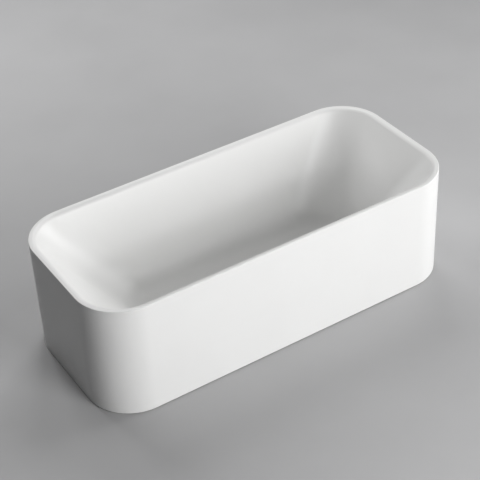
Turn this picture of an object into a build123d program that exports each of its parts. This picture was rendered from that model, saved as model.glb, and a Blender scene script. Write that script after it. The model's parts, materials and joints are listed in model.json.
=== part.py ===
from build123d import *
import math
import os

# Freestanding double-ended bathtub: a one-piece inner basin with a thin flat rim, bonded to a
# straight-sided outer skirt, carried on a plywood base board, two steel cross bars and four
# screw feet, with a central click waste and an overflow in the front long wall.
# Origin: centre of the footprint, on the floor that the feet stand on. +X along the tub,
# -Y is the front long side, +Z up. Millimetres.

os.makedirs("parts", exist_ok=True)

# ---------------------------------------------------------------- driving dimensions
length = 1700.0
width = 750.0
height = 520.0
corner_r = 200.0          # vertical outer corners, seen from above
floor_gap = 3.0           # skirt edge above the floor
skirt_t = 6.0
rim_w = 24.0              # outer face to where the wall plane meets the top plane
rim_t = 8.0
rim_outer_r = 3.0
rim_inner_r = 25.0        # the rim rolls over into the wall
rim_back_r = 10.0         # the same bend on the back of the sheet
ledge_w = 12.0            # skirt's ledge under the rim, from the outer face

basin_t = 7.0             # acrylic sheet with its glass-fibre backing
basin_floor_z = 115.0
basin_floor_a = 500.0     # half length and half width where the wall planes meet the floor plane
basin_floor_b = 213.0
basin_floor_r = 165.0
basin_foot_r = 120.0      # round between walls and floor

board_z0, board_z1 = 93.0, 108.0
board_l, board_w, board_r = 868.0, 256.0, 55.0

bar_x = 330.0
bar_s, bar_wall, bar_half = 30.0, 2.0, 345.0
bar_z0 = board_z0 - bar_s
foot_y = 250.0
stud_r, nut_bore_r, nut_af = 6.0, 6.06, 19.0
pad_r = 28.0

waste_xy = (0.0, 0.0)
waste_hole_r = 25.5
port_z = 82.0
outlet_r, outlet_z, outlet_bend = 20.0, 24.0, 22.0

overflow_z = 450.0
overflow_hole_r = 24.0
pipe_r, spigot_r = 16.0, 13.5

# ---------------------------------------------------------------- derived shape of the shells
rise = height - basin_floor_z
top_a, top_b, top_r = length / 2 - rim_w, width / 2 - rim_w, corner_r - rim_w
end_run, side_run = top_a - basin_floor_a, top_b - basin_floor_b
end_off = basin_t * math.hypot(end_run, rise) / rise
side_off = basin_t * math.hypot(side_run, rise) / rise
under_z = basin_floor_z - basin_t
flange_z = height - rim_t


def back_size(z):
    """Half length, half width and corner radius of the basin's back face at height z."""
    f = (z - basin_floor_z) / rise
    return (
        basin_floor_a + end_run * f + end_off,
        basin_floor_b + side_run * f + side_off,
        basin_floor_r + (top_r - basin_floor_r) * f + (end_off + side_off) / 2,
    )


# ---------------------------------------------------------------- inner basin
with BuildPart() as cavity:
    with BuildSketch(Plane.XY.offset(basin_floor_z)):
        RectangleRounded(2 * basin_floor_a, 2 * basin_floor_b, basin_floor_r)
    with BuildSketch(Plane.XY.offset(height)):
        RectangleRounded(2 * top_a, 2 * top_b, top_r)
    loft(ruled=True)
    fillet(cavity.faces().sort_by(Axis.Z)[0].edges(), basin_foot_r)

with BuildPart() as basin_shell:
    a, b, r = back_size(under_z)
    with BuildSketch(Plane.XY.offset(under_z)):
        RectangleRounded(2 * a, 2 * b, r)
    a, b, r = back_size(flange_z)
    with BuildSketch(Plane.XY.offset(flange_z)):
        RectangleRounded(2 * a, 2 * b, r)
    loft(ruled=True)
    fillet(basin_shell.faces().sort_by(Axis.Z)[0].edges(), basin_foot_r + basin_t)
    with BuildSketch(Plane.XY.offset(flange_z)):
        RectangleRounded(length, width, corner_r)
    extrude(amount=rim_t)
    bend = [
        e for e in basin_shell.edges().filter_by_position(Axis.Z, flange_z - 0.01, flange_z + 0.01)
        if all(
            abs((e @ t).X) < length / 2 - 5 and abs((e @ t).Y) < width / 2 - 5 for t in (0, 1)
        )
    ]
    fillet(bend, rim_back_r)
    # boss that backs the sunk seat of the waste
    with BuildSketch(Plane.XY.offset(under_z - 4)):
        with Locations(waste_xy):
            Circle(48)
    extrude(amount=5)
    add(cavity.part, mode=Mode.SUBTRACT)
    top = basin_shell.faces().sort_by(Axis.Z)[-1]
    fillet(top.outer_wire().edges(), rim_outer_r)
    top = basin_shell.faces().sort_by(Axis.Z)[-1]
    fillet(top.inner_wires()[0].edges(), rim_inner_r)
    # sunk seat and hole for the waste
    with BuildSketch(Plane.XY.offset(basin_floor_z - 3)):
        with Locations(waste_xy):
            Circle(38)
    extrude(amount=10, mode=Mode.SUBTRACT)
    with BuildSketch(Plane.XY.offset(under_z - 10)):
        with Locations(waste_xy):
            Circle(waste_hole_r)
    extrude(amount=20, mode=Mode.SUBTRACT)

# the overflow's own plane: on the inner face of the front wall, Z into the tub, Y down the wall
wall_y = -(top_b - (height - overflow_z) * side_run / rise)
wall_len = math.hypot(side_run, rise)
overflow_plane = Plane(
    origin=(0, wall_y, overflow_z),
    x_dir=(1, 0, 0),
    z_dir=(0, rise / wall_len, side_run / wall_len),
)
with BuildPart() as basin_holed:
    add(basin_shell.part)
    with BuildSketch(overflow_plane.offset(-15)):
        Circle(overflow_hole_r)
    extrude(amount=30, mode=Mode.SUBTRACT)
basin_holed.part.label = "basin_shell"
export_step(basin_holed.part, "parts/basin_shell.step")

# ---------------------------------------------------------------- outer skirt
with BuildPart() as outer_skirt:
    with BuildSketch(Plane.XY.offset(floor_gap)):
        RectangleRounded(length, width, corner_r)
        offset(amount=-skirt_t, kind=Kind.ARC, mode=Mode.SUBTRACT)
    extrude(amount=flange_z - floor_gap)
    # inward ledge below the rim, and turned-in bottom edge
    with BuildSketch(Plane.XY.offset(flange_z - 8)):
        RectangleRounded(length - 2, width - 2, corner_r - 1)
        RectangleRounded(
            length - 2 * ledge_w, width - 2 * ledge_w, corner_r - ledge_w, mode=Mode.SUBTRACT
        )
    extrude(amount=5)
    with BuildSketch(Plane.XY.offset(floor_gap)):
        RectangleRounded(length - 2, width - 2, corner_r - 1)
        RectangleRounded(length - 36, width - 36, corner_r - 18, mode=Mode.SUBTRACT)
    extrude(amount=5)
    low = outer_skirt.faces().sort_by(Axis.Z)[0]
    fillet(low.outer_wire().edges(), 1.5)
outer_skirt.part.label = "outer_skirt"
export_step(outer_skirt.part, "parts/outer_skirt.step")

# bead of bonding paste between the skirt's ledge and the rim's underside
with BuildPart() as rim_bond:
    with BuildSketch(Plane.XY.offset(flange_z - 3)):
        RectangleRounded(length - 2 * skirt_t, width - 2 * skirt_t, corner_r - skirt_t)
        RectangleRounded(
            length - 2 * ledge_w, width - 2 * ledge_w, corner_r - ledge_w, mode=Mode.SUBTRACT
        )
    extrude(amount=3)
rim_bond.part.label = "rim_bond"
export_step(rim_bond.part, "parts/rim_bond.step")

# ---------------------------------------------------------------- base board and cross bars
bar_screw_at = [(sx * bar_x, y) for sx in (-1, 1) for y in (-104, -42, 42, 104)]
with BuildPart() as floor_board:
    with BuildSketch(Plane.XY.offset(board_z0)):
        RectangleRounded(board_l, board_w, board_r)
        with Locations(waste_xy):
            Circle(55, mode=Mode.SUBTRACT)
        with Locations((0, -board_w / 4 - 10)):
            Rectangle(64, board_w / 2 + 20, mode=Mode.SUBTRACT)
    extrude(amount=board_z1 - board_z0)
    with BuildSketch(Plane.XY.offset(board_z0)):
        with Locations(bar_screw_at):
            Circle(2.55)
    extrude(amount=10, mode=Mode.SUBTRACT)
floor_board.part.label = "floor_board"
export_step(floor_board.part, "parts/floor_board.step")

bracket_screw_y = (312.0, 332.0)
for side, sx in (("left", -1), ("right", 1)):
    with BuildPart() as cross_bar:
        with BuildSketch(Plane.XZ.offset(-bar_half)):
            with Locations((sx * bar_x, bar_z0 + bar_s / 2)):
                RectangleRounded(bar_s, bar_s, 4)
                RectangleRounded(
                    bar_s - 2 * bar_wall, bar_s - 2 * bar_wall, 2.2, mode=Mode.SUBTRACT
                )
        extrude(amount=2 * bar_half)
        with BuildSketch(Plane.XY.offset(bar_z0 - 5)):
            with Locations((sx * bar_x, foot_y), (sx * bar_x, -foot_y)):
                Circle(6.75)
            with Locations([p for p in bar_screw_at if p[0] * sx > 0]):
                Circle(2.8)
        extrude(amount=bar_s + 10, mode=Mode.SUBTRACT)
        with BuildSketch(Plane.XY.offset(bar_z0 - 5)):
            with Locations(
                [(sx * bar_x, sy * y) for sy in (-1, 1) for y in bracket_screw_y]
            ):
                Circle(2.05)
        extrude(amount=12, mode=Mode.SUBTRACT)
    cross_bar.part.label = f"cross_bar_{side}"
    export_step(cross_bar.part, f"parts/cross_bar_{side}.step")

with BuildPart() as bar_screws:
    with BuildSketch(Plane.XY.offset(bar_z0 - 2.5)):
        with Locations(bar_screw_at):
            Circle(5)
    extrude(amount=2.5)
    with BuildSketch(Plane.XY.offset(bar_z0)):
        with Locations(bar_screw_at):
            Circle(2.5)
    extrude(amount=39.5)
    chamfer(
        bar_screws.faces().group_by(Axis.Z)[-1].edges(), length=2.0, length2=1.2
    )
    with BuildSketch(Plane.XY.offset(bar_z0 - 2.5)):
        with Locations(bar_screw_at):
            RegularPolygon(2.2, 6)
    extrude(amount=1.6, mode=Mode.SUBTRACT)
bar_screws.part.label = "bar_screws"
export_step(bar_screws.part, "parts/bar_screws.step")

# ---------------------------------------------------------------- skirt brackets
bracket_at = [(sx * bar_x, sy) for sx in (-1, 1) for sy in (-1, 1)]
skirt_face = width / 2 - skirt_t
with BuildPart() as skirt_brackets:
    for bx, sy in bracket_at:
        with BuildSketch(Plane.XY.offset(bar_z0 - 2)):
            with Locations((bx, sy * (skirt_face + 298) / 2)):
                Rectangle(28, skirt_face - 298)
        extrude(amount=2)
        with BuildSketch(Plane.XY.offset(bar_z0 - 2)):
            with Locations((bx, sy * (skirt_face - 1))):
                Rectangle(44, 2)
        extrude(amount=64)
    fillet(
        skirt_brackets.edges().filter_by(Axis.Y).filter_by(lambda e: e.length < 3)
        .filter_by(lambda e: e.center().Z > bar_z0 + 30),
        6,
    )
    with BuildSketch(Plane.XY.offset(bar_z0 - 5)):
        with Locations([(bx, sy * y) for bx, sy in bracket_at for y in bracket_screw_y]):
            Circle(2.2)
    extrude(amount=6, mode=Mode.SUBTRACT)
skirt_brackets.part.label = "skirt_brackets"
export_step(skirt_brackets.part, "parts/skirt_brackets.step")

bracket_screw_at = [(bx, sy * y) for bx, sy in bracket_at for y in bracket_screw_y]
with BuildPart() as bracket_screws:
    with BuildSketch(Plane.XY.offset(bar_z0 - 4.4)):
        with Locations(bracket_screw_at):
            Circle(4)
    extrude(amount=2.4)
    fillet(bracket_screws.faces().group_by(Axis.Z)[0].edges(), 1.0)
    with BuildSketch(Plane.XY.offset(bar_z0 - 2)):
        with Locations(bracket_screw_at):
            Circle(2)
    extrude(amount=9)
bracket_screws.part.label = "bracket_screws"
export_step(bracket_screws.part, "parts/bracket_screws.step")

# ---------------------------------------------------------------- screw feet
foot_at = {
    "front_left": (-bar_x, -foot_y),
    "front_right": (bar_x, -foot_y),
    "back_left": (-bar_x, foot_y),
    "back_right": (bar_x, foot_y),
}
for name, (fx, fy) in foot_at.items():
    with BuildPart() as foot_pad:
        with BuildSketch(Plane.XY):
            with Locations((fx, fy)):
                Circle(pad_r)
        extrude(amount=6)
        fillet(foot_pad.edges().group_by(Axis.Z)[-1], 2.0)
        with BuildSketch(Plane.XY.offset(6)):
            with Locations((fx, fy)):
                Circle(13)
        extrude(amount=8, taper=8)
        with BuildSketch(Plane.XY.offset(7)):
            with Locations((fx, fy)):
                Circle(stud_r + 0.1)
        extrude(amount=8, mode=Mode.SUBTRACT)
    foot_pad.part.label = f"foot_pad_{name}"
    export_step(foot_pad.part, f"parts/foot_pad_{name}.step")

    with BuildPart() as foot_stud:
        with BuildSketch(Plane.XY.offset(7)):
            with Locations((fx, fy)):
                Circle(stud_r)
        extrude(amount=111)
        chamfer(foot_stud.edges().group_by(Axis.Z)[-1], 1.0)
        # hexagon collar that stands on the pad and takes the spanner
        with BuildSketch(Plane.XY.offset(14)):
            with Locations((fx, fy)):
                RegularPolygon(8.5, 6, major_radius=False)
        extrude(amount=6)
    foot_stud.part.label = f"foot_stud_{name}"
    export_step(foot_stud.part, f"parts/foot_stud_{name}.step")

for label, z0, tall in (
    ("adjusting_nuts", bar_z0 - 10.0, 10.0),
    ("lock_nuts", bar_z0 + bar_s, 6.0),
):
    with BuildPart() as nuts:
        with BuildSketch(Plane.XY.offset(z0)):
            with Locations(list(foot_at.values())):
                RegularPolygon(nut_af / 2, 6, major_radius=False)
                Circle(nut_bore_r, mode=Mode.SUBTRACT)
        extrude(amount=tall)
        outer = nuts.edges().filter_by(GeomType.LINE).filter_by(Axis.Z, reverse=True)
        chamfer(outer, 0.6)
    nuts.part.label = label
    export_step(nuts.part, f"parts/{label}.step")

# ---------------------------------------------------------------- waste
seat_z = basin_floor_z - 3
with BuildPart() as flange_gasket:
    with BuildSketch(Plane.XY.offset(seat_z)):
        with Locations(waste_xy):
            Circle(34)
            Circle(25, mode=Mode.SUBTRACT)
    extrude(amount=1.5)
flange_gasket.part.label = "flange_gasket"
export_step(flange_gasket.part, "parts/flange_gasket.step")

with BuildPart() as waste_flange:
    with BuildSketch(Plane.XZ):
        with BuildLine():
            Polyline(
                (20.5, 92), (23.9, 92), (23.9, seat_z + 1.5), (35, seat_z + 1.5),
                (35, seat_z + 3.4), (33.6, seat_z + 4.3), (29.0, seat_z + 4.3),
                (20.5, seat_z + 1.2), (20.5, 92),
            )
        make_face()
    revolve(axis=Axis.Z)
    # cross that carries the click cartridge
    with BuildSketch(Plane.XY.offset(97)):
        Circle(10)
        Rectangle(42, 3)
        Rectangle(3, 42)
    extrude(amount=10)
    with BuildSketch(Plane.XY.offset(90)):
        Circle(8.05)
    extrude(amount=30, mode=Mode.SUBTRACT)
waste_flange.part.label = "waste_flange"
export_step(waste_flange.part, "parts/waste_flange.step")

with BuildPart() as click_cartridge:
    with BuildSketch(Plane.XY.offset(84)):
        Circle(8)
    extrude(amount=24)
    with BuildSketch(Plane.XY.offset(107)):
        Circle(9.6)
    extrude(amount=2)
    with BuildSketch(Plane.XY.offset(86)):
        Circle(5.2)
    extrude(amount=21, mode=Mode.SUBTRACT)
    with BuildSketch(Plane.XY.offset(106)):
        Circle(3.4)
    extrude(amount=10, mode=Mode.SUBTRACT)
click_cartridge.part.label = "click_cartridge"
export_step(click_cartridge.part, "parts/click_cartridge.step")

# the stem's head is caught under the cartridge's lip, so the plug lifts 8 mm and no more
plug_seat = seat_z + 4.3
with BuildPart() as plug_stem:
    with BuildSketch(Plane.XY.offset(95)):
        Circle(5.0)
    extrude(amount=3.5)
    with BuildSketch(Plane.XY.offset(98.5)):
        Circle(3.2)
    extrude(amount=plug_seat + 1.6 - 98.5)
plug_stem.part.label = "plug_stem"
export_step(plug_stem.part, "parts/plug_stem.step")

with BuildPart() as plug_cap:
    with BuildSketch(Plane.XZ):
        with BuildLine():
            l1 = Polyline(
                (0, plug_seat + 1.6), (31, plug_seat + 1.6), (31, plug_seat + 4.2)
            )
            l2 = Line((0, plug_seat + 6.6), (0, plug_seat + 1.6))
            RadiusArc((31, plug_seat + 4.2), (0, plug_seat + 6.6), -215)
        make_face()
    revolve(axis=Axis.Z)
    fillet(
        plug_cap.edges().filter_by(GeomType.CIRCLE).group_by(SortBy.LENGTH)[-1], 1.0
    )
plug_cap.part.label = "plug_cap"
export_step(plug_cap.part, "parts/plug_cap.step")

with BuildPart() as plug_seal:
    with BuildSketch(Plane.XY.offset(plug_seat + 0.2)):
        Circle(30)
        Circle(29.2 - 3.4, mode=Mode.SUBTRACT)
    extrude(amount=1.4)
plug_seal.part.label = "plug_seal"
export_step(plug_seal.part, "parts/plug_seal.step")

with BuildPart() as plug_spring:
    with BuildLine():
        wire = Helix(pitch=1.95, height=7.8, radius=4.2, center=(0, 0, 86.6))
    with BuildSketch(Plane(origin=wire @ 0, z_dir=wire % 0)):
        Circle(0.55)
    sweep(path=wire, is_frenet=True)
plug_spring.part.label = "plug_spring"
export_step(plug_spring.part, "parts/plug_spring.step")

with BuildPart() as body_gasket:
    with BuildSketch(Plane.XY.offset(101)):
        Circle(41)
        Circle(25, mode=Mode.SUBTRACT)
    extrude(amount=3)
body_gasket.part.label = "body_gasket"
export_step(body_gasket.part, "parts/body_gasket.step")

with BuildPart() as waste_body:
    with BuildSketch(Plane.XZ):
        with BuildLine():
            Polyline(
                (17, 54), (22, 54), (22, 66), (30, 66), (30, 95.5), (42, 97),
                (42, 101), (24, 101), (24, 92), (26.5, 90), (26.5, 70), (17, 70),
                (17, 54),
            )
        make_face()
    revolve(axis=Axis.Z)
    with BuildSketch(Plane.XZ.offset(27)):
        with Locations((0, port_z)):
            Circle(spigot_r)
    extrude(amount=48)
    with BuildSketch(Plane.XZ.offset(20)):
        with Locations((0, port_z)):
            Circle(10.5)
    extrude(amount=60, mode=Mode.SUBTRACT)
waste_body.part.label = "waste_body"
export_step(waste_body.part, "parts/waste_body.step")

with BuildPart() as outlet_nut:
    with BuildSketch(Plane.XY.offset(46)):
        RegularPolygon(28, 12, major_radius=False)
    extrude(amount=16)
    with BuildSketch(Plane.XY.offset(48)):
        Circle(24.1)
    extrude(amount=4, mode=Mode.SUBTRACT)
    with BuildSketch(Plane.XY.offset(52)):
        Circle(22.05)
    extrude(amount=20, mode=Mode.SUBTRACT)
    with BuildSketch(Plane.XY.offset(40)):
        Circle(20.3)
    extrude(amount=10, mode=Mode.SUBTRACT)
outlet_nut.part.label = "outlet_nut"
export_step(outlet_nut.part, "parts/outlet_nut.step")

with BuildPart() as outlet_seal:
    with BuildSketch(Plane.XY.offset(51)):
        Circle(21.9)
        Circle(17.2, mode=Mode.SUBTRACT)
    extrude(amount=3)
outlet_seal.part.label = "outlet_seal"
export_step(outlet_seal.part, "parts/outlet_seal.step")

outlet_end, outlet_stop = 112.0, 60.0
with BuildPart() as outlet_elbow:
    with BuildLine() as elbow_line:
        e1 = Line((0, 0, 51), (0, 0, outlet_z + outlet_bend))
        e2 = ThreePointArc(
            e1 @ 1,
            (
                outlet_bend * (1 - math.sqrt(0.5)),
                0,
                outlet_z + outlet_bend * (1 - math.sqrt(0.5)),
            ),
            (outlet_bend, 0, outlet_z),
        )
        Line(e2 @ 1, (outlet_end, 0, outlet_z))
    with BuildSketch(Plane.XY.offset(51)):
        Circle(outlet_r)
        Circle(17.2, mode=Mode.SUBTRACT)
    sweep(path=elbow_line.wires()[0])
    with BuildSketch(Plane.XY.offset(48)):
        Circle(23.8)
        Circle(outlet_r - 1, mode=Mode.SUBTRACT)
    extrude(amount=3)
    # stop bead of the spigot
    with BuildSketch(Plane.YZ.offset(outlet_stop - 4)):
        with Locations((0, outlet_z)):
            Circle(outlet_r + 2.5)
            Circle(outlet_r - 1, mode=Mode.SUBTRACT)
    extrude(amount=4)
outlet_elbow.part.label = "outlet_elbow"
export_step(outlet_elbow.part, "parts/outlet_elbow.step")

# ---------------------------------------------------------------- overflow
ov = overflow_plane
with BuildPart() as overflow_cover:
    with BuildSketch(ov):
        Circle(33)
    extrude(amount=9)
    fillet(
        overflow_cover.faces().sort_by(Axis(ov.origin, ov.z_dir))[-1].edges(), 3.0
    )
    with BuildSketch(ov):
        Circle(31)
    extrude(amount=6.6, mode=Mode.SUBTRACT)
    with BuildSketch(ov):
        with Locations((0, 32)):
            Rectangle(38, 16)
    extrude(amount=6.0, mode=Mode.SUBTRACT)
    with BuildSketch(ov.offset(-1)):
        Circle(3.2)
    extrude(amount=12, mode=Mode.SUBTRACT)
overflow_cover.part.label = "overflow_cover"
export_step(overflow_cover.part, "parts/overflow_cover.step")

with BuildPart() as overflow_screw:
    with BuildSketch(ov.offset(9)):
        Circle(5.5)
    extrude(amount=2.2)
    fillet(
        overflow_screw.faces().sort_by(Axis(ov.origin, ov.z_dir))[-1].edges(), 1.4
    )
    with BuildSketch(ov.offset(-19)):
        Circle(2.95)
    extrude(amount=28)
overflow_screw.part.label = "overflow_screw"
export_step(overflow_screw.part, "parts/overflow_screw.step")

with BuildPart() as overflow_gasket:
    with BuildSketch(ov.offset(-basin_t - 2)):
        Circle(33)
        Circle(overflow_hole_r + 0.3, mode=Mode.SUBTRACT)
    extrude(amount=2)
overflow_gasket.part.label = "overflow_gasket"
export_step(overflow_gasket.part, "parts/overflow_gasket.step")

spigot_w = -21.0
spigot_pt = ov.from_local_coords(Vector(0, 0, spigot_w))
spigot_y, spigot_z = spigot_pt.Y, spigot_pt.Z
with BuildPart() as overflow_elbow:
    with BuildSketch(ov.offset(-basin_t - 2 - 4)):
        Circle(33)
    extrude(amount=4)
    with BuildSketch(ov.offset(-31)):
        Circle(26)
    extrude(amount=20)
    fillet(
        overflow_elbow.faces().sort_by(Axis(ov.origin, ov.z_dir))[0].edges(), 4
    )
    with BuildSketch(Plane.XY.offset(spigot_z - 62)):
        with Locations((0, spigot_y)):
            Circle(spigot_r)
    extrude(amount=60)
    with BuildSketch(ov.offset(-28)):
        Circle(22)
    extrude(amount=30, mode=Mode.SUBTRACT)
    with BuildSketch(Plane.XY.offset(spigot_z - 70)):
        with Locations((0, spigot_y)):
            Circle(10.5)
    extrude(amount=68, mode=Mode.SUBTRACT)
    # bridge with the boss that takes the cover's screw
    with BuildSketch(ov.offset(-17)):
        Circle(6)
        Rectangle(46, 4)
    extrude(amount=6)
    with BuildSketch(ov.offset(-22)):
        Circle(3)
    extrude(amount=14, mode=Mode.SUBTRACT)
overflow_elbow.part.label = "overflow_elbow"
export_step(overflow_elbow.part, "parts/overflow_elbow.step")

pipe_top = spigot_z - 38
pipe_bend = 70.0
pipe_end_y = -53.0
with BuildPart() as overflow_pipe:
    with BuildLine() as pipe_line:
        h1 = Line((0, spigot_y, pipe_top), (0, spigot_y, port_z + pipe_bend))
        h2 = ThreePointArc(
            h1 @ 1,
            (
                0,
                spigot_y + pipe_bend * (1 - math.sqrt(0.5)),
                port_z + pipe_bend * (1 - math.sqrt(0.5)),
            ),
            (0, spigot_y + pipe_bend, port_z),
        )
        Line(h2 @ 1, (0, pipe_end_y, port_z))
    with BuildSketch(Plane(origin=(0, spigot_y, pipe_top), z_dir=(0, 0, -1))):
        Circle(pipe_r)
        Circle(spigot_r + 0.05, mode=Mode.SUBTRACT)
    sweep(path=pipe_line.wires()[0])
overflow_pipe.part.label = "overflow_pipe"
export_step(overflow_pipe.part, "parts/overflow_pipe.step")

with BuildPart() as pipe_clamps:
    with BuildSketch(Plane.XY.offset(pipe_top - 14)):
        with Locations((0, spigot_y)):
            Circle(pipe_r + 0.9)
            Circle(pipe_r, mode=Mode.SUBTRACT)
    extrude(amount=9)
    with BuildSketch(Plane.XY.offset(pipe_top - 14)):
        with Locations((pipe_r + 3.6, spigot_y)):
            Rectangle(6, 10)
    extrude(amount=9)
    with BuildSketch(Plane.XZ.offset(-pipe_end_y + 5)):
        with Locations((0, port_z)):
            Circle(pipe_r + 0.9)
            Circle(pipe_r, mode=Mode.SUBTRACT)
    extrude(amount=9)
    with BuildSketch(Plane.XZ.offset(-pipe_end_y + 5)):
        with Locations((0, port_z - pipe_r - 3.6)):
            Rectangle(10, 6)
    extrude(amount=9)
pipe_clamps.part.label = "pipe_clamps"
export_step(pipe_clamps.part, "parts/pipe_clamps.step")

print("basin litres to the brim", round(cavity.part.volume / 1e6, 1))
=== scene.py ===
import bpy
import json
import math
import numpy as np
from mathutils import Matrix, Vector


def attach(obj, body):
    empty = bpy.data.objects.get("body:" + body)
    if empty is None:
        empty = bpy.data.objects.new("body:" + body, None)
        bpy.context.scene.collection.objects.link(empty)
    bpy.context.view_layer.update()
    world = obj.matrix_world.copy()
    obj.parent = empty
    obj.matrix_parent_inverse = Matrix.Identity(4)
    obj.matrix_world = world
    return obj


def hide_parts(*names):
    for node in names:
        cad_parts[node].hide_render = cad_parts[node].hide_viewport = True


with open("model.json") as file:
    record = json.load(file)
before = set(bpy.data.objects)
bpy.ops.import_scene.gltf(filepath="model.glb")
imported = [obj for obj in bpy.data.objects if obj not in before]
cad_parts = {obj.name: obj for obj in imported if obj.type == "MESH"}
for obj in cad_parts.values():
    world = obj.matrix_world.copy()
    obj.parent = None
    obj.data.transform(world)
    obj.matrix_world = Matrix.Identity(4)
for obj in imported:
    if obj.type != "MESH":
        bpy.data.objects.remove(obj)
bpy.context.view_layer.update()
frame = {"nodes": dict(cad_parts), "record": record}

NODES = frame["nodes"]
SC = bpy.context.scene
COL = SC.collection

# ------------------------------------------------------------------ sizes, in metres
L2, W2, H = 0.850, 0.375, 0.520
CORNER = 0.200
RIM = 0.024
FLANGE_Z = 0.512
EDGE_OUT, EDGE_IN, EDGE_BACK = 0.003, 0.025, 0.010
LEDGE = 0.012
FLOOR_Z = 0.115
FA, FB, FR = 0.500, 0.213, 0.165
FOOT_R = 0.120
SHELL = 0.007
SKIRT_T = 0.006
GAP = 0.003
TOP_A, TOP_B, TOP_R = L2 - RIM, W2 - RIM, CORNER - RIM
RISE = H - FLOOR_Z
END_OFF = SHELL * math.hypot(TOP_A - FA, RISE) / RISE
SIDE_OFF = SHELL * math.hypot(TOP_B - FB, RISE) / RISE
OVER_Z = 0.450
BACK_R = (END_OFF + SIDE_OFF) / 2
BAR_X, FOOT_Y = 0.330, 0.250
PORT_Z = 0.082


# ------------------------------------------------------------------ node materials
class Mat:
    """A procedural material: one Principled shader with noise-driven colour, roughness and bump."""

    def __init__(self, name, base, rough, metal=0.0, spec=0.5, coat=0.0, coat_rough=0.03):
        self.m = bpy.data.materials.new(name)
        self.m.use_nodes = True
        self.t = self.m.node_tree
        self.t.nodes.clear()
        self.out = self.t.nodes.new("ShaderNodeOutputMaterial")
        self.p = self.t.nodes.new("ShaderNodeBsdfPrincipled")
        self.t.links.new(self.p.outputs[0], self.out.inputs[0])
        self.p.inputs["Base Color"].default_value = (*base, 1)
        self.p.inputs["Roughness"].default_value = rough
        self.p.inputs["Metallic"].default_value = metal
        self.p.inputs["Specular IOR Level"].default_value = spec
        self.p.inputs["Coat Weight"].default_value = coat
        self.p.inputs["Coat Roughness"].default_value = coat_rough
        self.base, self.rough = base, rough
        tc = self.t.nodes.new("ShaderNodeTexCoord")
        self.obj = tc.outputs["Object"]
        self.height = None

    def mapped(self, scale=(1, 1, 1), rot=(0, 0, 0)):
        n = self.t.nodes.new("ShaderNodeMapping")
        n.inputs["Scale"].default_value = scale
        n.inputs["Rotation"].default_value = rot
        self.t.links.new(self.obj, n.inputs["Vector"])
        return n.outputs[0]

    def noise(self, scale, detail=3.0, rough=0.5, vec=None, distortion=0.0):
        n = self.t.nodes.new("ShaderNodeTexNoise")
        n.inputs["Scale"].default_value = scale
        n.inputs["Detail"].default_value = detail
        n.inputs["Roughness"].default_value = rough
        n.inputs["Distortion"].default_value = distortion
        self.t.links.new(vec or self.obj, n.inputs["Vector"])
        return n.outputs["Fac"]

    def voronoi(self, scale, vec=None, feature="F1", out="Distance", rand=1.0):
        n = self.t.nodes.new("ShaderNodeTexVoronoi")
        n.feature = feature
        n.inputs["Scale"].default_value = scale
        n.inputs["Randomness"].default_value = rand
        self.t.links.new(vec or self.obj, n.inputs["Vector"])
        return n.outputs[out]

    def wave(self, scale, distortion, detail=2.0, direction="X", vec=None, dscale=1.0):
        n = self.t.nodes.new("ShaderNodeTexWave")
        n.bands_direction = direction
        n.inputs["Scale"].default_value = scale
        n.inputs["Distortion"].default_value = distortion
        n.inputs["Detail"].default_value = detail
        n.inputs["Detail Scale"].default_value = dscale
        self.t.links.new(vec or self.obj, n.inputs["Vector"])
        return n.outputs["Fac"]

    def math(self, op, a, b=None, clamp=False):
        n = self.t.nodes.new("ShaderNodeMath")
        n.operation = op
        n.use_clamp = clamp
        for i, v in enumerate((a, b)):
            if v is None:
                continue
            if isinstance(v, (int, float)):
                n.inputs[i].default_value = v
            else:
                self.t.links.new(v, n.inputs[i])
        return n.outputs[0]

    def ramp(self, fac, stops, interp="LINEAR"):
        n = self.t.nodes.new("ShaderNodeValToRGB")
        n.color_ramp.interpolation = interp
        els = n.color_ramp.elements
        while len(els) < len(stops):
            els.new(0.5)
        for e, (pos, col) in zip(els, stops):
            e.position = pos
            e.color = (*col, 1) if len(col) == 3 else col
        self.t.links.new(fac, n.inputs[0])
        return n.outputs[0]

    def mix(self, fac, a, b, mode="MIX"):
        n = self.t.nodes.new("ShaderNodeMix")
        n.data_type = "RGBA"
        n.blend_type = mode
        for key, v in (("Factor", fac), ("A", a), ("B", b)):
            s = [i for i in n.inputs if i.name == key and i.enabled][0]
            if isinstance(v, (int, float)):
                s.default_value = v
            elif isinstance(v, tuple):
                s.default_value = (*v, 1)
            else:
                self.t.links.new(v, s)
        return [o for o in n.outputs if o.enabled][0]

    def colour(self, socket):
        self.t.links.new(socket, self.p.inputs["Base Color"])
        return self

    def tint(self, fac, spread):
        """Base colour varied either way by spread, driven by fac."""
        lo = tuple(max(0.0, c * (1 - spread)) for c in self.base)
        hi = tuple(min(1.0, c * (1 + spread)) for c in self.base)
        return self.colour(self.ramp(fac, [(0.3, lo), (0.7, hi)]))

    def roughness(self, fac, lo, hi):
        n = self.t.nodes.new("ShaderNodeMapRange")
        n.inputs["From Min"].default_value = 0.3
        n.inputs["From Max"].default_value = 0.7
        n.inputs["To Min"].default_value = lo
        n.inputs["To Max"].default_value = hi
        self.t.links.new(fac, n.inputs["Value"])
        self.t.links.new(n.outputs[0], self.p.inputs["Roughness"])
        return self

    def bump(self, fac, depth, strength=1.0):
        n = self.t.nodes.new("ShaderNodeBump")
        n.inputs["Strength"].default_value = strength
        n.inputs["Distance"].default_value = depth
        self.t.links.new(fac, n.inputs["Height"])
        if self.height is not None:
            self.t.links.new(self.height, n.inputs["Normal"])
        self.height = n.outputs[0]
        self.t.links.new(self.height, self.p.inputs["Normal"])
        return self


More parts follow.
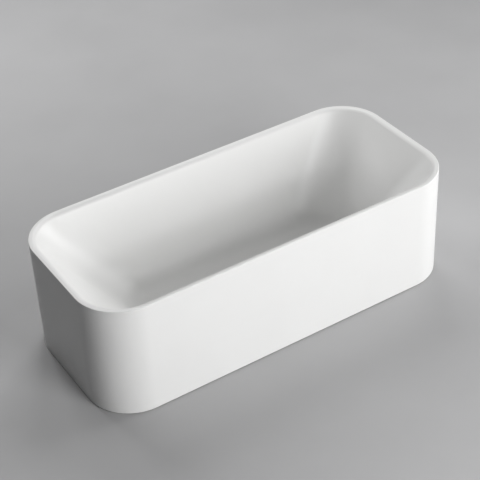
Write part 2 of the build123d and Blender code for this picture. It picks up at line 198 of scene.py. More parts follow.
def make_materials():
    M = {}
    # moulded acrylic: barely uneven white, satin, with a very faint orange peel
    a = Mat("acrylic_white", (0.83, 0.83, 0.822), 0.42, spec=0.42, coat=0.10, coat_rough=0.32)
    a.tint(a.noise(2.3, 4), 0.012)
    a.roughness(a.noise(9.0, 4, 0.6), 0.38, 0.47)
    a.bump(a.noise(420.0, 2, 0.5), 0.00004, 0.35)
    a.bump(a.noise(28.0, 2, 0.5), 0.00012, 0.25)
    M["acrylic_white"] = a.m
    # the rolled glass-fibre resin on the unseen side
    g = Mat("glass_fibre_back", (0.74, 0.73, 0.64), 0.34, spec=0.5)
    strands = [
        g.wave(55, 9.0, 3, "X", g.mapped((1, 1, 1), (0.3, 0.5, k)), 2.2) for k in (0.2, 1.1, 2.3)
    ]
    s = g.math("MAXIMUM", g.math("MAXIMUM", strands[0], strands[1]), strands[2])
    g.colour(g.mix(g.noise(6, 5), g.ramp(s, [(0.6, (0.60, 0.59, 0.49)), (1.0, (0.80, 0.79, 0.71))]),
                   (0.78, 0.77, 0.68)))
    g.roughness(g.noise(34, 4), 0.22, 0.55)
    g.bump(s, 0.0009, 0.6)
    g.bump(g.noise(22, 4), 0.0016, 0.5)
    M["glass_fibre_back"] = g.m
    b = Mat("bonding_paste", (0.78, 0.78, 0.74), 0.75)
    b.tint(b.noise(30, 4), 0.05)
    b.bump(b.noise(70, 4), 0.0006, 0.6)
    M["bonding_paste"] = b.m
    # birch plywood: long grain on the faces, plies on the edges
    w = Mat("plywood", (0.66, 0.49, 0.31), 0.62, spec=0.3)
    long_vec = w.mapped((1.3, 16, 16))
    grain = w.wave(2.2, 5.5, 4, "Y", long_vec, 0.6)
    fine = w.noise(6, 6, 0.7, w.mapped((14, 260, 260)))
    face = w.mix(0.35, w.ramp(grain, [(0.0, (0.60, 0.42, 0.25)), (0.55, (0.72, 0.55, 0.36)), (1.0, (0.63, 0.46, 0.28))]),
                 w.ramp(fine, [(0.3, (0.46, 0.31, 0.17)), (0.7, (0.78, 0.62, 0.42))]))
    sep = w.t.nodes.new("ShaderNodeSeparateXYZ")
    w.t.links.new(w.obj, sep.inputs[0])
    plies = w.math("SINE", w.math("MULTIPLY", sep.outputs[2], 2 * math.pi / 0.006))
    edge = w.mix(w.noise(5, 5, 0.6, w.mapped((120, 120, 30))),
                 w.ramp(w.math("MULTIPLY_ADD", plies, 0.5), [(0.0, (0.33, 0.20, 0.10)), (0.5, (0.62, 0.45, 0.27))]),
                 (0.55, 0.39, 0.23))
    geo = w.t.nodes.new("ShaderNodeNewGeometry")
    nz = w.t.nodes.new("ShaderNodeSeparateXYZ")
    w.t.links.new(geo.outputs["Normal"], nz.inputs[0])
    up = w.math("GREATER_THAN", w.math("ABSOLUTE", nz.outputs[2]), 0.6)
    w.colour(w.mix(up, edge, face))
    w.roughness(fine, 0.52, 0.72)
    w.bump(fine, 0.0003, 0.5)
    M["plywood"] = w.m
    # hot-dip spangle
    z = Mat("galvanised_steel", (0.56, 0.58, 0.60), 0.42, metal=1.0)
    cells = z.voronoi(85, out="Color")
    bw = z.t.nodes.new("ShaderNodeRGBToBW")
    z.t.links.new(cells, bw.inputs[0])
    z.colour(z.mix(z.noise(12, 4), z.ramp(bw.outputs[0], [(0.2, (0.46, 0.49, 0.52)), (0.8, (0.68, 0.70, 0.71))]),
                   (0.52, 0.54, 0.56)))
    z.roughness(bw.outputs[0], 0.30, 0.52)
    z.bump(z.noise(160, 3), 0.0001, 0.4)
    M["galvanised_steel"] = z.m
    y = Mat("zinc_plated_steel", (0.66, 0.68, 0.70), 0.28, metal=1.0)
    y.tint(y.noise(90, 4), 0.09)
    y.roughness(y.noise(140, 4), 0.20, 0.38)
    y.bump(y.noise(600, 2), 0.00004, 0.4)
    M["zinc_plated_steel"] = y.m
    k = Mat("foot_plastic", (0.030, 0.031, 0.034), 0.55)
    k.tint(k.noise(50, 3), 0.18)
    k.roughness(k.noise(120, 3), 0.46, 0.66)
    k.bump(k.noise(700, 3), 0.00008, 0.6)
    M["foot_plastic"] = k.m
    r = Mat("seal_rubber", (0.022, 0.022, 0.023), 0.72, spec=0.35)
    r.tint(r.noise(60, 3), 0.2)
    r.bump(r.noise(500, 3), 0.00007, 0.5)
    M["seal_rubber"] = r.m
    c = Mat("chrome_trim", (0.80, 0.81, 0.83), 0.06, metal=1.0)
    c.tint(c.noise(25, 3), 0.015)
    c.roughness(c.noise(70, 5), 0.035, 0.095)
    c.bump(c.noise(45, 2), 0.00003, 0.15)
    M["chrome_trim"] = c.m
    q = Mat("cartridge_brass", (0.62, 0.44, 0.18), 0.30, metal=1.0)
    q.tint(q.noise(60, 4), 0.12)
    q.roughness(q.noise(260, 3, 0.5, q.mapped((1, 1, 30))), 0.22, 0.42)
    M["cartridge_brass"] = q.m
    f = Mat("spring_steel", (0.58, 0.58, 0.57), 0.25, metal=1.0)
    f.tint(f.noise(200, 3), 0.08)
    f.roughness(f.noise(300, 3), 0.18, 0.34)
    M["spring_steel"] = f.m
    p = Mat("pipe_plastic", (0.78, 0.78, 0.755), 0.40, spec=0.4)
    p.tint(p.noise(30, 3), 0.02)
    p.roughness(p.noise(80, 4), 0.34, 0.48)
    p.bump(p.noise(300, 2), 0.00006, 0.4)
    M["pipe_plastic"] = p.m
    h = Mat("corrugated_plastic", (0.34, 0.35, 0.36), 0.46, spec=0.4)
    h.tint(h.noise(40, 3), 0.05)
    h.roughness(h.noise(120, 3), 0.38, 0.55)
    h.bump(h.noise(420, 2), 0.00006, 0.4)
    M["corrugated_plastic"] = h.m
    return M


MATS = make_materials()

# ------------------------------------------------------------------ outline rings
# A ring is a closed outline with four round corners. It is held as the support function h(phi)
# of one quadrant and its derivative, so that walls, fillets and roundovers all share it.
NC = 36                                   # steps per corner
PHI = np.linspace(0.0, math.pi / 2, NC + 1)
CO, SI = np.cos(PHI), np.sin(PHI)


def flat_steps(n, near=0.0012):
    t = list(np.linspace(0, 1, n + 1)[1:-1])
    return np.array([near] + t + [1 - near])


LONG_T, SHORT_T = flat_steps(52), flat_steps(14)


def ring(h, hp, z, push=0.0):
    """Points of the outline with support h, hp at height z, pushed out along its normal by push."""
    qx = h * CO - hp * SI + push * CO
    qy = h * SI + hp * CO + push * SI
    z = np.broadcast_to(z, qx.shape)
    quads = [
        np.stack([qx, qy, z], 1),
        np.stack([-qx, qy, z], 1)[::-1],
        np.stack([-qx, -qy, z], 1),
        np.stack([qx, -qy, z], 1)[::-1],
    ]
    pts = []
    for i, q in enumerate(quads):
        pts.append(q)
        nxt = quads[(i + 1) % 4][0]
        ts = LONG_T if i % 2 == 0 else SHORT_T
        pts.append(q[-1][None, :] * (1 - ts[:, None]) + nxt[None, :] * ts[:, None])
    return np.concatenate(pts)


def rect(a, b, r):
    """Support function of a rounded rectangle and its derivative."""
    return (a - r) * CO + (b - r) * SI + r, -(a - r) * SI + (b - r) * CO


class Wall:
    """The sloped wall between two rounded rectangles, with a ball-rolled foot."""

    def __init__(self, lo, z0, hi, z1, foot):
        self.z0, self.z1, self.foot = z0, z1, foot
        (self.h0, self.p0), (self.h1, self.p1) = rect(*lo), rect(*hi)
        self.k, self.kp = (self.h1 - self.h0) / (z1 - z0), (self.p1 - self.p0) / (z1 - z0)
        self.s = np.sqrt(1 + self.k**2)
        self.sp = self.k * self.kp / self.s
        self.angle = np.arctan2(1.0, self.k)

    def at(self, z):
        return self.h0 + self.k * (z - self.z0), self.p0 + self.kp * (z - self.z0)

    def foot_ring(self, f):
        """Ring of the foot's round; f is 0 where it meets the floor and 1 where it meets the wall."""
        R = self.foot
        hc = self.h0 + R * (self.k - self.s)
        pc = self.p0 + R * (self.kp - self.sp)
        al = f * self.angle
        return self._off(hc, pc, self.z0 + R - R * np.cos(al), R * np.sin(al))

    def foot_top(self):
        return self.z0 + self.foot * (1 - np.cos(self.angle))

    def wall_ring(self, f, ztop):
        """Ring on the wall; f is 0 at the foot's tangent line and 1 at height ztop."""
        zt = self.foot_top()
        z = zt + f * (ztop - zt)
        h, p = self.h0 + self.k * (z - self.z0), self.p0 + self.kp * (z - self.z0)
        return ring(h, p, z)

    def edge_ring(self, f, top, e):
        """Ring of the roundover, radius e, between the wall and the flat at height top."""
        zc = top - e
        hc = self.h0 + self.k * (zc - self.z0) + e * self.s
        pc = self.p0 + self.kp * (zc - self.z0) + e * self.sp
        be = (1 - f) * self.angle
        return self._off(hc, pc, zc + e * np.cos(be), -e * np.sin(be))

    def edge_low(self, top, e):
        return top - e + e * np.cos(self.angle)

    def _off(self, hc, pc, z, push):
        return ring(hc, pc, z, push)


RING_N = len(ring(*rect(0.5, 0.3, 0.1), 0.0))


def circle_ring(r, z, like):
    """A circle about the Z axis with one point for each point of the ring like."""
    ang = np.unwrap(np.arctan2(like[:, 1], like[:, 0]))
    return np.stack([r * np.cos(ang), r * np.sin(ang), np.full(len(like), z)], 1)


def even_circle(r, z, n=RING_N, centre=(0.0, 0.0)):
    ang = np.linspace(0, 2 * math.pi, n, endpoint=False)
    return np.stack([centre[0] + r * np.cos(ang), centre[1] + r * np.sin(ang), np.full(n, z)], 1)


def skin(name, rings, closed=False, mats=(), mat_of=None, flip=False):
    """A mesh of quads through rings that share their number of points."""
    n = len(rings[0])
    verts = np.concatenate(rings)
    faces, idx = [], []
    rows = len(rings)
    for j in range(rows if closed else rows - 1):
        k = (j + 1) % rows
        for i in range(n):
            i2 = (i + 1) % n
            f = (j * n + i, j * n + i2, k * n + i2, k * n + i)
            faces.append(f[::-1] if flip else f)
            idx.append(mat_of(j) if mat_of else 0)
    me = bpy.data.meshes.new(name)
    me.from_pydata([tuple(v) for v in verts], [], faces)
    me.polygons.foreach_set("material_index", idx)
    me.polygons.foreach_set("use_smooth", [True] * len(faces))
    for m in mats:
        me.materials.append(MATS[m])
    me.update()
    o = bpy.data.objects.new(name, me)
    COL.objects.link(o)
    return o


def sharpen(o, degrees):
    """Marks edges sharper than this, and turns the mesh smooth elsewhere."""
    import bmesh

    bm = bmesh.new()
    bm.from_mesh(o.data)
    lim = math.radians(degrees)
    for f in bm.faces:
        f.smooth = True
    for e in bm.edges:
        e.smooth = not (len(e.link_faces) == 2 and e.calc_face_angle(0) > lim)
    bm.to_mesh(o.data)
    bm.free()
    return o


def outward(o):
    """Faces turned outwards on a closed mesh."""
    import bmesh

    bm = bmesh.new()
    bm.from_mesh(o.data)
    bmesh.ops.remove_doubles(bm, verts=bm.verts, dist=1e-7)
    bmesh.ops.recalc_face_normals(bm, faces=bm.faces)
    if bm.calc_volume(signed=True) < 0:
        bmesh.ops.reverse_faces(bm, faces=bm.faces)
    bm.to_mesh(o.data)
    bm.free()
    return o


def settle(o, body, slot, *nodes):
    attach(o, body)
    if nodes:
        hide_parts(*nodes)
    return o


def cut(o, cutter):
    """o with cutter taken away, applied to its mesh."""
    m = o.modifiers.new("cut", "BOOLEAN")
    m.operation, m.solver, m.object = "DIFFERENCE", "EXACT", cutter
    dg = bpy.context.evaluated_depsgraph_get()
    me = bpy.data.meshes.new_from_object(o.evaluated_get(dg), depsgraph=dg)
    o.modifiers.clear()
    old = o.data
    o.data = me
    bpy.data.meshes.remove(old)
    bpy.data.objects.remove(cutter)
    return o


# ------------------------------------------------------------------ the basin
OVER_Y = -(TOP_B - (H - OVER_Z) * (TOP_B - FB) / RISE)
_wl = math.hypot(TOP_B - FB, RISE)
OV = Matrix((
    (1, 0, 0, 0),
    (0, (TOP_B - FB) / _wl, RISE / _wl, OVER_Y),
    (0, -RISE / _wl, (TOP_B - FB) / _wl, OVER_Z),
    (0, 0, 0, 1),
))  # local Z into the basin, local Y down the wall


def build_basin():
    inner = Wall((FA, FB, FR), FLOOR_Z, (TOP_A, TOP_B, TOP_R), H, FOOT_R)
    zb = FLOOR_Z - SHELL

    def back_size(z):
        f = (z - FLOOR_Z) / RISE
        return (FA + (TOP_A - FA) * f + END_OFF, FB + (TOP_B - FB) * f + SIDE_OFF,
                FR + (TOP_R - FR) * f + BACK_R)

    outer = Wall(back_size(zb), zb, back_size(FLANGE_Z), FLANGE_Z, FOOT_R + SHELL)
    rings, back_from = [], None
    first = inner.foot_ring(0.0)
    # waste seat and hole, from the underside of the boss up to the floor
    for r, z in ((0.0480, zb - 0.0005), (0.0480, zb - 0.004), (0.0258, zb - 0.004), (0.0255, zb - 0.0037),
                 (0.0255, 0.1117), (0.0258, 0.1120), (0.0372, 0.1120), (0.0378, 0.1123), (0.0380, 0.1129),
                 (0.0380, 0.1140), (0.0383, 0.1147), (0.0390, 0.1150), (0.0402, 0.1150), (0.060, 0.1150)):
        rings.append(circle_ring(r, z, first))
    for f in (0.35, 0.7):
        c = rings[-1]
        rings.append(c * (1 - f) + first * f if f == 0.35 else circle_ring(0.06, 0.115, first) * (1 - f) + first * f)
    rings.append(first)
    for s in np.linspace(0, 1, 25)[1:]:
        rings.append(inner.foot_ring(s))
    ztop = inner.edge_low(H, EDGE_IN)
    for s in [0.006] + list(np.linspace(0, 1, 25)[1:-1]) + [0.994, 1.0]:
        rings.append(inner.wall_ring(s, ztop))
    for s in np.linspace(0, 1, 17)[1:]:
        rings.append(inner.edge_ring(s, H, EDGE_IN))
    # flat of the rim
    ha, pa = inner.at(H)
    outer_h, outer_p = rect(L2, W2, CORNER)
    last = rings[-1]
    rim_out = ring(outer_h, outer_p, H, -EDGE_OUT)
    for f in (0.1, 0.5, 0.9, 1.0):
        rings.append(last * (1 - f) + rim_out * f)
    for s in np.linspace(0, 1, 7)[1:]:
        g = s * math.pi / 2
        rings.append(ring(outer_h, outer_p, H - EDGE_OUT + EDGE_OUT * math.cos(g), -EDGE_OUT + EDGE_OUT * math.sin(g)))
    rings.append(ring(outer_h, outer_p, FLANGE_Z + 0.0004))
    rings.append(ring(outer_h, outer_p, FLANGE_Z))
    back_from = len(rings) - 1
    # the unseen side: flange's underside, back wall, back of the floor
    for s in np.linspace(0, 1, 7)[::-1]:
        rings.append(outer.edge_ring(s, FLANGE_Z, EDGE_BACK))
    zb_top = outer.edge_low(FLANGE_Z, EDGE_BACK)
    for s in [0.994] + list(np.linspace(0, 1, 19)[1:-1][::-1]) + [0.006, 0.0]:
        rings.append(outer.wall_ring(s, zb_top))
    for s in np.linspace(0, 1, 17)[:-1][::-1]:
        rings.append(outer.foot_ring(s))
    edge = rings[-1]
    for f in (0.4, 0.8):
        rings.append(edge * (1 - f) + circle_ring(0.0500, zb, edge) * f)
    rings.append(circle_ring(0.0500, zb, edge))
    rings.append(circle_ring(0.0484, zb - 0.0001, edge))
    o = skin("basin", rings, closed=True, mats=("acrylic_white", "glass_fibre_back"),
             mat_of=lambda j: 1 if j >= back_from or j < 3 else 0)
    outward(o)
    # overflow hole through the front wall
    seg = 64
    c = skin("cutter", [even_circle(0.024, -0.02, seg), even_circle(0.024, 0.02, seg)])
    import bmesh

    bm = bmesh.new()
    bm.from_mesh(c.data)
    bmesh.ops.holes_fill(bm, edges=bm.edges)
    bmesh.ops.recalc_face_normals(bm, faces=bm.faces)
    bmesh.ops.transform(bm, matrix=OV, verts=bm.verts)
    bm.to_mesh(c.data)
    bm.free()
    cut(o, c)
    sharpen(o, 35)
    settle(o, "tub", "acrylic_white", "basin_shell")
    return o


def build_skirt():
    h, p = rect(L2, W2, CORNER)
    rings = []

    def r(z, push):
        rings.append(ring(h, p, z, push))

    r(FLANGE_Z, 0.0)
    for z in (0.5112, 0.40, 0.30, 0.20, 0.10, 0.02, 0.0062):
        r(z, 0.0)
    for s in np.linspace(0, 1, 5):
        g = s * math.pi / 2
        r(GAP + 0.0015 - 0.0015 * math.sin(g), -0.0015 + 0.0015 * math.cos(g))
    back = len(rings) - 1
    r(GAP, -0.0176)
    r(GAP + 0.0004, -0.018)
    r(GAP + 0.0046, -0.018)
    r(GAP + 0.005, -0.0176)
    r(GAP + 0.005, -0.0085)
    r(GAP + 0.0057, -0.0067)
    r(GAP + 0.0075, -SKIRT_T)
    for z in (0.10, 0.20, 0.30, 0.40, 0.500):
        r(z, -SKIRT_T)
    r(0.5028, -0.0064)
    r(0.5040, -0.0080)
    r(0.5040, 0.0004 - LEDGE)
    r(0.5044, -LEDGE)
    r(0.5086, -LEDGE)
    r(0.5090, 0.0004 - LEDGE)
    r(0.5090, -0.0070)
    r(0.5094, -SKIRT_T)
    r(FLANGE_Z, -SKIRT_T)
    n = len(rings)
    o = skin("skirt", rings, closed=True, mats=("acrylic_white", "glass_fibre_back"),
             mat_of=lambda j: 1 if back <= j < n - 1 else 0)
    outward(o)
    sharpen(o, 50)
    settle(o, "tub", "acrylic_white", "outer_skirt")
    return o


basin = build_basin()
skirt = build_skirt()


# ------------------------------------------------------------------ turned and swept pieces
def lathe(name, profile, mat, at=(0, 0, 0), seg=96, closed=True, matrix=None, sharp=35):
    """Profile of (radius, z) turned about Z. Points on the axis close it."""
    import bmesh

    bm = bmesh.new()
    ang = [2 * math.pi * i / seg for i in range(seg)]
    rows = []
    for r, z in profile:
        if r < 1e-9:
            rows.append([bm.verts.new((0, 0, z))])
        else:
            rows.append([bm.verts.new((r * math.cos(a), r * math.sin(a), z)) for a in ang])
    pairs = list(zip(rows, rows[1:]))
    if closed:
        pairs.append((rows[-1], rows[0]))
    for a, b in pairs:
        if len(a) == 1 and len(b) == 1:
            continue
        for i in range(seg):
            j = (i + 1) % seg
            if len(a) == 1:
                bm.faces.new((a[0], b[j], b[i]))
            elif len(b) == 1:
                bm.faces.new((a[i], a[j], b[0]))
            else:
                bm.faces.new((a[i], a[j], b[j], b[i]))
    bmesh.ops.recalc_face_normals(bm, faces=bm.faces)
    if matrix is not None:
        bmesh.ops.transform(bm, matrix=matrix, verts=bm.verts)
    bmesh.ops.translate(bm, vec=at, verts=bm.verts)
    if bm.calc_volume(signed=True) < 0:
        bmesh.ops.reverse_faces(bm, faces=bm.faces)
    me = bpy.data.meshes.new(name)
    bm.to_mesh(me)
    bm.free()
    me.materials.append(MATS[mat])
    o = bpy.data.objects.new(name, me)
    COL.objects.link(o)
    return sharpen(o, sharp)


def arc(cx, cz, r, a0, a1, n):
    """(radius, z) points on an arc, angles in degrees."""
    return [(cx + r * math.cos(math.radians(a0 + (a1 - a0) * i / n)),
             cz + r * math.sin(math.radians(a0 + (a1 - a0) * i / n))) for i in range(n + 1)]


def merge(name, objs):
    """One object from several closed shells."""
    import bmesh

    bm = bmesh.new()
    mats = list(objs[0].data.materials)
    for o in objs:
        bm.from_mesh(o.data)
    me = bpy.data.meshes.new(name)
    bm.to_mesh(me)
    bm.free()
    for m in mats:
        me.materials.append(m)
    for o in objs:
        old = o.data
        bpy.data.objects.remove(o)
        bpy.data.meshes.remove(old)
    o = bpy.data.objects.new(name, me)
    COL.objects.link(o)
    return o


def prism(name, pts, z0, z1, mat, bevel=0.0, matrix=None, sharp=30):
    """A closed prism over the outline pts, with its long edges rounded."""
    import bmesh

    bm = bmesh.new()
    lo = [bm.verts.new((x, y, z0)) for x, y in pts]
    hi = [bm.verts.new((x, y, z1)) for x, y in pts]
    n = len(pts)
    bm.faces.new(lo[::-1])
    bm.faces.new(hi)
    for i in range(n):
        j = (i + 1) % n
        bm.faces.new((lo[i], lo[j], hi[j], hi[i]))
    bmesh.ops.recalc_face_normals(bm, faces=bm.faces)
    if bevel:
        bmesh.ops.bevel(bm, geom=bm.edges[:], offset=bevel, segments=2, affect="EDGES", profile=0.5)
    if matrix is not None:
        bmesh.ops.transform(bm, matrix=matrix, verts=bm.verts)
    me = bpy.data.meshes.new(name)
    bm.to_mesh(me)
    bm.free()
    me.materials.append(MATS[mat])
    o = bpy.data.objects.new(name, me)
    COL.objects.link(o)
    return sharpen(o, sharp)


def hexagon(apothem, turn=0.0):
    r = apothem / math.cos(math.pi / 6)
    return [(r * math.cos(math.pi / 3 * k + turn), r * math.sin(math.pi / 3 * k + turn)) for k in range(6)]


# ------------------------------------------------------------------ waste
SEAT = 0.1135


def build_waste():
    prof = [(0.0205, 0.0925), (0.0210, 0.0920), (0.0235, 0.0920), (0.0239, 0.0924), (0.0239, SEAT)] + \
        [(0.0343, SEAT)] + arc(0.0345, SEAT + 0.0005, 0.0005, -60, 0, 3) + \
        arc(0.0336, SEAT + 0.0014, 0.0014, 12, 90, 6) + [(0.0302, SEAT + 0.0028)] + \
        arc(0.0292, SEAT + 0.0018, 0.0010, 84, 128, 4) + [(0.0218, SEAT - 0.0001)] + \
        arc(0.0213, SEAT - 0.0008, 0.0008, 120, 180, 4)
    ringed = lathe("waste_flange_body", prof, "chrome_trim", seg=128)
    hub = lathe("hub", [(0.00805, 0.0972), (0.0083, 0.0970), (0.0098, 0.0970), (0.0100, 0.0972),
                        (0.0100, 0.1068), (0.0098, 0.1070), (0.0083, 0.1070), (0.00805, 0.1068)],
                "chrome_trim", seg=64)
    arms = []
    for k in range(4):
        rot = Matrix.Rotation(k * math.pi / 2, 4, "Z")
        arms.append(prism("arm%d" % k, [(0.0094, -0.0015), (0.0209, -0.0015), (0.0209, 0.0015), (0.0094, 0.0015)],
                          0.0970, 0.1070, "chrome_trim", 0.0005, rot))
    settle(merge("waste_flange_turned", [ringed, hub] + arms), "tub", "chrome_trim", "waste_flange")
    z = SEAT + 0.0028 + 0.0016                     # underside of the plug cap
    cap = lathe("plug_cap_domed", [(0.0, z), (0.0255, z), (0.0258, z - 0.0002), (0.0304, z - 0.0002)] +
                arc(0.0304, z + 0.0006, 0.0006, -70, 0, 3) + [(0.0310, z + 0.0017)] +
                arc(0.0294, z + 0.0019, 0.0016, 8, 72, 6) +
                [(0.0298 * math.cos(t), z + 0.0018 + 0.0032 * math.sin(t) ** 0.8)
                 for t in np.linspace(0.55, math.pi / 2 - 0.001, 14)][:-1] + [(0.0, z + 0.0050)],
                "chrome_trim", seg=128, closed=False, sharp=50)
    settle(cap, "waste_plug", "chrome_trim", "plug_cap")


build_waste()


# ------------------------------------------------------------------ overflow
def build_overflow():
    cover = lathe("overflow_cover_dished", [(0.0310, 0.0002), (0.0313, 0.0), (0.0327, 0.0), (0.0330, 0.0003),
                                            (0.0330, 0.0058)] + arc(0.0299, 0.0059, 0.0031, 4, 88, 9) +
                  [(0.0285, 0.00896), (0.0240, 0.0087), (0.0180, 0.00855), (0.0120, 0.0087), (0.0075, 0.0090),
                   (0.0034, 0.0090), (0.0032, 0.0088), (0.0032, 0.0068), (0.0034, 0.0066), (0.0290, 0.0066)] +
                  arc(0.0290, 0.0046, 0.0020, 84, 4, 5), "chrome_trim", seg=144, matrix=OV, sharp=35)
    slot = prism("slot", [(-0.017, 0.022), (0.017, 0.022), (0.019, 0.024), (0.019, 0.042), (-0.019, 0.042),
                          (-0.019, 0.024)], -0.002, 0.0055, "chrome_trim", 0.0, OV)
    cut(cover, slot)
    sharpen(cover, 35)
    settle(cover, "tub", "chrome_trim", "overflow_cover")
    screw = lathe("overflow_screw_turned", [(0.0, -0.0190), (0.0022, -0.0190), (0.00295, -0.0182),
                                            (0.00295, 0.0090), (0.0053, 0.0090), (0.0055, 0.0092),
                                            (0.0055, 0.0098)] + arc(0.0041, 0.0098, 0.0014, 10, 90, 6) +
                  [(0.0, 0.0112)], "chrome_trim", seg=64, closed=False, matrix=OV)
    cut(screw, prism("key", hexagon(0.0020), 0.0096, 0.0130, "chrome_trim", 0.0, OV))
    sharpen(screw, 35)
    settle(screw, "tub", "chrome_trim", "overflow_screw")


build_overflow()
SP_Y = OVER_Y - 0.021 * RISE / _wl
PIPE_TOP = OVER_Z - 0.021 * (TOP_B - FB) / _wl - 0.038


def build_overflow_pipe():
    """Corrugated pipe: plain cuffs, even rounded corrugations between, one wide bend."""
    bend, end = 0.070, -0.053
    runs = [PIPE_TOP - (PORT_Z + bend), bend * math.pi / 2, end - (SP_Y + bend)]
    total = sum(runs)

    def frame_at(s):
        if s <= runs[0]:
            return Vector((0, SP_Y, PIPE_TOP - s)), Vector((0, 0, -1))
        if s <= runs[0] + runs[1]:
            a = (s - runs[0]) / bend
            c = Vector((0, SP_Y + bend, PORT_Z + bend))
            return c + bend * Vector((0, -math.cos(a), -math.sin(a))), Vector((0, math.sin(a), -math.cos(a)))
        return Vector((0, SP_Y + bend + (s - runs[0] - runs[1]), PORT_Z)), Vector((0, 1, 0))

    cuff, pitch = 0.027, 0.0052
    rows = [(0.0, 0.0150), (0.0, 0.0157), (0.0003, 0.0160), (cuff - 0.002, 0.0160), (cuff - 0.0004, 0.0156),
            (cuff, 0.0148)]
    n = int((total - 2 * cuff) / pitch)
    pitch = (total - 2 * cuff) / n
    for k in range(n):
        for f, r in ((0.0, 0.0146), (0.16, 0.0148), (0.30, 0.0158), (0.42, 0.0160), (0.60, 0.0160), (0.72, 0.0158), (0.86, 0.0148)):
            rows.append((cuff + (k + f) * pitch, r))
    rows += [(total - cuff, 0.0148), (total - cuff + 0.0004, 0.0156), (total - cuff + 0.002, 0.0160),
             (total - 0.0003, 0.0160), (total, 0.0157), (total, 0.0150)]
    inner = [(s, 0.01355) for s in [total] + list(np.linspace(total, 0, 90)[1:-1]) + [0.0]]
    seg = 32
    rings = []
    for s, r in rows + inner:
        c, t = frame_at(s)
        side = Vector((1, 0, 0))
        up_ = side.cross(t)
        rings.append(np.array([tuple(c + r * (math.cos(a) * side + math.sin(a) * up_))
                               for a in np.linspace(0, 2 * math.pi, seg, endpoint=False)]))
    o = skin("overflow_pipe_corrugated", rings, closed=True, mats=("corrugated_plastic",))
    outward(o)
    sharpen(o, 70)
    settle(o, "tub", "corrugated_plastic", "overflow_pipe")


build_overflow_pipe()


# ------------------------------------------------------------------ screw feet
def thread(t):
    """Height of an ISO-like thread, 0 at the root and 1 at the crest, over one pitch."""
    t = t % 1.0
    for (t0, v0), (t1, v1) in zip([(0, 0), (0.18, 0), (0.48, 1), (0.64, 1), (0.94, 0), (1.0, 0)],
                                  [(0.18, 0), (0.48, 1), (0.64, 1), (0.94, 0), (1.0, 0), (1.1, 0)]):
        if t0 <= t <= t1 and t1 > t0:
            return v0 + (v1 - v0) * (t - t0) / (t1 - t0)
    return 0.0


def build_stud(name, x, y, body, node):
    """Threaded M12 stud with a spanner collar."""
    seg, r, depth, pitch = 36, 0.006, 0.00085, 0.00175
    ang = np.linspace(0, 2 * math.pi, seg, endpoint=False)
    hexr = 0.0085 / np.cos((ang % (math.pi / 3)) - math.pi / 6)
    flat = np.full(seg, 1.0)
    rows = [(0.0070, 0.0 * flat), (0.0070, 0.0052 * flat), (0.0076, 0.0060 * flat), (0.0140, 0.0060 * flat),
            (0.0140, hexr - 0.0009), (0.0146, hexr), (0.0194, hexr), (0.0200, hexr - 0.0009),
            (0.0200, 0.0056 * flat)]
    z0, z1, step = 0.0206, 0.1180, pitch / 7
    prof = np.array([thread(k / 70) for k in range(70)])
    z = z0
    while z < z1 - 1e-6:
        t = (z / pitch - ang / (2 * math.pi)) % 1.0
        h = prof[(t * 70).astype(int) % 70]
        rr = r - depth * (1 - h)
        rr = np.minimum(rr, r - max(0.0, 0.0013 - (z1 - z)))
        rows.append((z, rr))
        z += step
    rows += [(z1, 0.0046 * flat), (z1, 0.0 * flat)]
    verts, faces = [], []
    for k, (z, rr) in enumerate(rows):
        if k in (0, len(rows) - 1):
            verts.append((x, y, z))
        else:
            verts += [(x + a * math.cos(t), y + a * math.sin(t), z) for a, t in zip(rr, ang)]
    n = len(rows) - 2
    for i in range(seg):
        i2 = (i + 1) % seg
        faces.append((0, 1 + i2, 1 + i))
        last = 1 + (n - 1) * seg
        faces.append((last + i, last + i2, len(verts) - 1))
        for k in range(n - 1):
            a = 1 + k * seg
            faces.append((a + i, a + i2, a + seg + i2, a + seg + i))
    me = bpy.data.meshes.new(name)
    me.from_pydata(verts, [], faces)
    me.materials.append(MATS["zinc_plated_steel"])
    o = bpy.data.objects.new(name, me)
    COL.objects.link(o)
    sharpen(o, 50)
    settle(o, body, "zinc_plated_steel", node)


def build_pad(name, x, y, body, node):
    """Moulded foot pad: rounded rim, ribs under the boss, blind socket for the stud."""
    base = lathe("base", [(0.0, 0.0), (0.0262, 0.0)] + arc(0.0268, 0.0012, 0.0012, -80, 0, 4) + [(0.0280, 0.0038)] +
                 arc(0.0258, 0.0038, 0.0022, 6, 86, 5) + [(0.0200, 0.0058), (0.0140, 0.0060), (0.0131, 0.0068),
                                                         (0.0119, 0.0134), (0.0113, 0.0140), (0.0064, 0.0140),
                                                         (0.0061, 0.0137), (0.0061, 0.0070), (0.0, 0.0070)],
                 "foot_plastic", seg=72, closed=False, sharp=40)
    ribs = []
    for k in range(8):
        rot = Matrix.Rotation(k * math.pi / 4, 4, "Z")
        up_ = rot @ Matrix(((1, 0, 0, 0), (0, 0, -1, 0), (0, 1, 0, 0), (0, 0, 0, 1)))
        ribs.append(prism("rib%d" % k, [(0.0116, 0.0052), (0.0236, 0.0052), (0.0232, 0.0066), (0.0124, 0.0118), (0.0116, 0.0118)],
                          -0.0009, 0.0009, "foot_plastic", 0.00025, up_))
    o = merge(name, [base] + ribs)
    o.data.transform(Matrix.Translation((x, y, 0)))
    sharpen(o, 40)
    settle(o, body, "foot_plastic", node)


for tag, sx, sy in (("front_left", -1, -1), ("front_right", 1, -1), ("back_left", -1, 1), ("back_right", 1, 1)):
    build_stud("stud_" + tag, sx * BAR_X, sy * FOOT_Y, "foot_" + tag, "foot_stud_" + tag)
    build_pad("pad_" + tag, sx * BAR_X, sy * FOOT_Y, "foot_" + tag, "foot_pad_" + tag)

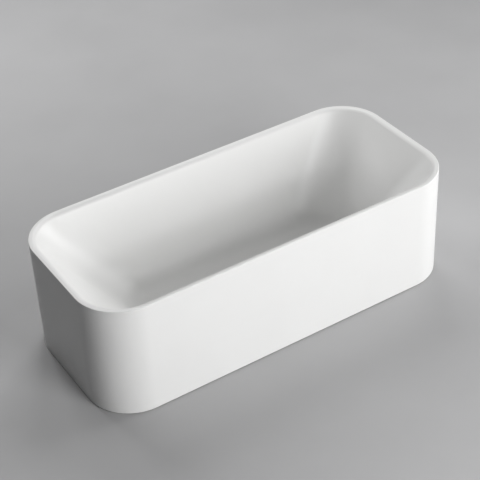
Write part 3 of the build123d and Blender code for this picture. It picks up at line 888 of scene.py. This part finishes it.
# ------------------------------------------------------------------ carried-over CAD nodes
for name, o in NODES.items():
    slot = next(s["material_slot"] for s in frame["record"]["subparts"] if s["node"] == name)
    o.data.materials.clear()
    o.data.materials.append(MATS[slot])

# ------------------------------------------------------------------ floor, light, camera
def plane(name, size, z):
    me = bpy.data.meshes.new(name)
    s = size / 2
    me.from_pydata([(-s, -s, z), (s, -s, z), (s, s, z), (-s, s, z)], [], [(0, 1, 2, 3)])
    o = bpy.data.objects.new(name, me)
    COL.objects.link(o)
    return o


floor = plane("studio_floor", 11.0, -0.0005)
fm = Mat("studio_floor", (0.46, 0.46, 0.465), 0.55, spec=0.3)
fm.tint(fm.noise(1.2, 5, 0.6), 0.03)
fm.roughness(fm.noise(3.0, 5), 0.45, 0.62)
floor.data.materials.append(fm.m)


def area(name, at, aim, size, power, colour=(1, 1, 1)):
    d = bpy.data.lights.new(name, "AREA")
    d.shape, d.size, d.size_y = "RECTANGLE", size[0], size[1]
    d.energy, d.color = power, colour
    o = bpy.data.objects.new(name, d)
    o.location = at
    o.rotation_euler = (Vector(aim) - Vector(at)).to_track_quat("-Z", "Y").to_euler()
    COL.objects.link(o)
    return o


world = bpy.data.worlds.new("studio")
world.use_nodes = True
world.node_tree.nodes["Background"].inputs[0].default_value = (0.93, 0.96, 1.0, 1)
world.node_tree.nodes["Background"].inputs[1].default_value = 0.01
# a pale backdrop that only the camera sees, above the floor's edge in low views
wt = world.node_tree
seen = wt.nodes.new("ShaderNodeBackground")
seen.inputs[0].default_value = (0.42, 0.42, 0.425, 1)
path = wt.nodes.new("ShaderNodeLightPath")
mix = wt.nodes.new("ShaderNodeMixShader")
wt.links.new(path.outputs["Is Camera Ray"], mix.inputs[0])
wt.links.new(wt.nodes["Background"].outputs[0], mix.inputs[1])
wt.links.new(seen.outputs[0], mix.inputs[2])
wt.links.new(mix.outputs[0], wt.nodes["World Output"].inputs[0])
SC.world = world


def lamp(name, azimuth, elevation, power, size=2.0, colour=(1, 1, 1), reach=5.0):
    """A square light on a sphere round the tub; azimuth 0 is in front of the long side, 90 at the right end."""
    a, e = math.radians(azimuth), math.radians(elevation)
    d = Vector((math.sin(a) * math.cos(e), -math.cos(a) * math.cos(e), math.sin(e)))
    aim = Vector((0, 0, 0.3))
    return area(name, aim + d * reach, aim, (size, size), power, colour)


lamp("front_low", 10, 12, 103)
lamp("front", 10, 30, 58)
lamp("front_left", -10, 30, 37)
lamp("right_low", 80, 12, 76)
lamp("right", 80, 30, 42)
lamp("back", -170, 32, 96)
lamp("back_right", 150, 50, 74)

az, el, roll = math.radians(-31.214), math.radians(36.896), math.radians(-2.978)
fwd = Vector((-math.sin(az) * math.cos(el), math.cos(az) * math.cos(el), -math.sin(el)))
rt = Vector((math.cos(az), math.sin(az), 0))
up = rt.cross(fwd)
rt2 = rt * math.cos(roll) + up * math.sin(roll)
up2 = rt2.cross(fwd)
cam_data = bpy.data.cameras.new("camera")
cam_data.sensor_width = 36.0
cam_data.lens = 36.0 * 1344.442 / 480
cam_data.clip_start, cam_data.clip_end = 0.05, 200
cam = bpy.data.objects.new("camera", cam_data)
COL.objects.link(cam)
cam.matrix_world = Matrix((
    (rt2.x, up2.x, -fwd.x, -2.338549),
    (rt2.y, up2.y, -fwd.y, -3.850282),
    (rt2.z, up2.z, -fwd.z, 3.691096),
    (0, 0, 0, 1),
))
SC.camera = cam
SC.view_settings.view_transform = "Standard"
SC.view_settings.look = "None"

bpy.context.view_layer.update()
